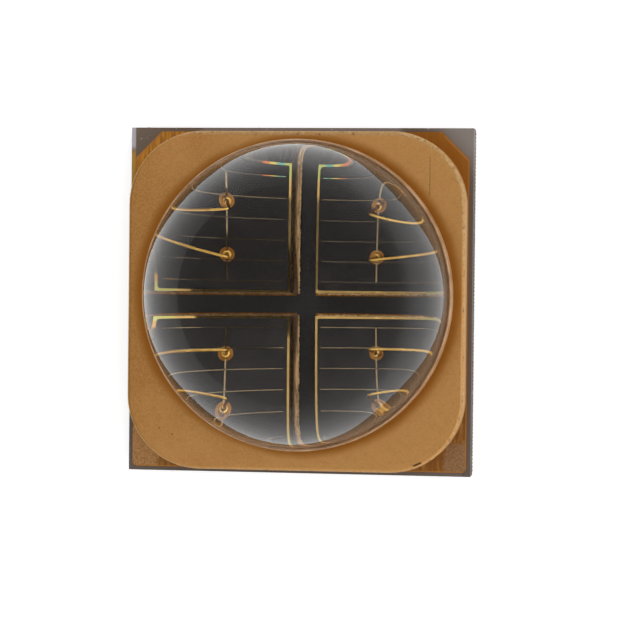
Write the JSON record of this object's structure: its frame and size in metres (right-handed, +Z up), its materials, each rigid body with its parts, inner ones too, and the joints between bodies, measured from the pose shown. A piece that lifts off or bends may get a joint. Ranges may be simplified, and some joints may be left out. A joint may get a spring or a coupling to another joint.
{
  "type": "high-power infrared emitter",
  "caption": "Square ceramic emitter package with a gold-plated frame, a glass dome lens, an array of infrared dies with contact grids and bonded wires, and solder pads beneath.",
  "frame": {"origin": "centre of the underside, on the plane of the solder pads", "axes": "+Z up through the lens, +X to the picture's right, +Y to the picture's top, where the pad corners are chamfered"},
  "size_m": [0.007, 0.007, 0.0045],
  "materials": {
    "ceramic": "matt sintered ceramic with scribed edges",
    "frame_gold": "satin gold plating",
    "circuit_gold": "matt gold plating, darkened by brazing",
    "pad_gold": "matt gold plating",
    "via_metal": "filled metal plug",
    "solder": "reflowed gold tin solder",
    "die_body": "sawn semiconductor with rough walls",
    "border_gold": "smooth evaporated gold",
    "emitter": "near-black semiconductor",
    "grid_gold": "thin evaporated gold",
    "wire_gold": "drawn gold wire",
    "adhesive": "cured amber bond line",
    "lens_glass": "clear polished glass"
  },
  "bodies": {
    "root": {"ceramic_base": "ceramic", "seal_pad": "circuit_gold", "metal_frame": "frame_gold", "lens_bond": "adhesive", "dome_lens": "lens_glass", "thermal_pad": "pad_gold", "anode_pad_top_left": "pad_gold", "cathode_pad_top_left": "pad_gold", "wire_via_top_left": "via_metal", "die_via_top_left": "via_metal", "die_pad_top_left": "circuit_gold", "wire_pad_top_left": "circuit_gold", "die_solder_top_left": "solder", "die_body_top_left": "die_body", "back_metal_top_left": "border_gold", "emitter_mesa_top_left": "emitter", "contact_grid_top_left": "grid_gold", "bond_wire_top_left_upper": "wire_gold", "bond_wire_top_left_lower": "wire_gold", "anode_pad_top_right": "pad_gold", "cathode_pad_top_right": "pad_gold", "wire_via_top_right": "via_metal", "die_via_top_right": "via_metal", "die_pad_top_right": "circuit_gold", "wire_pad_top_right": "circuit_gold", "die_solder_top_right": "solder", "die_body_top_right": "die_body", "back_metal_top_right": "border_gold", "emitter_mesa_top_right": "emitter", "contact_grid_top_right": "grid_gold", "bond_wire_top_right_upper": "wire_gold", "bond_wire_top_right_lower": "wire_gold", "anode_pad_bottom_left": "pad_gold", "cathode_pad_bottom_left": "pad_gold", "wire_via_bottom_left": "via_metal", "die_via_bottom_left": "via_metal", "die_pad_bottom_left": "circuit_gold", "wire_pad_bottom_left": "circuit_gold", "die_solder_bottom_left": "solder", "die_body_bottom_left": "die_body", "back_metal_bottom_left": "border_gold", "emitter_mesa_bottom_left": "emitter", "contact_grid_bottom_left": "grid_gold", "bond_wire_bottom_left_upper": "wire_gold", "bond_wire_bottom_left_lower": "wire_gold", "anode_pad_bottom_right": "pad_gold", "cathode_pad_bottom_right": "pad_gold", "wire_via_bottom_right": "via_metal", "die_via_bottom_right": "via_metal", "die_pad_bottom_right": "circuit_gold", "wire_pad_bottom_right": "circuit_gold", "die_solder_bottom_right": "solder", "die_body_bottom_right": "die_body", "back_metal_bottom_right": "border_gold", "emitter_mesa_bottom_right": "emitter", "contact_grid_bottom_right": "grid_gold", "bond_wire_bottom_right_upper": "wire_gold", "bond_wire_bottom_right_lower": "wire_gold"}
  },
  "joints": []
}
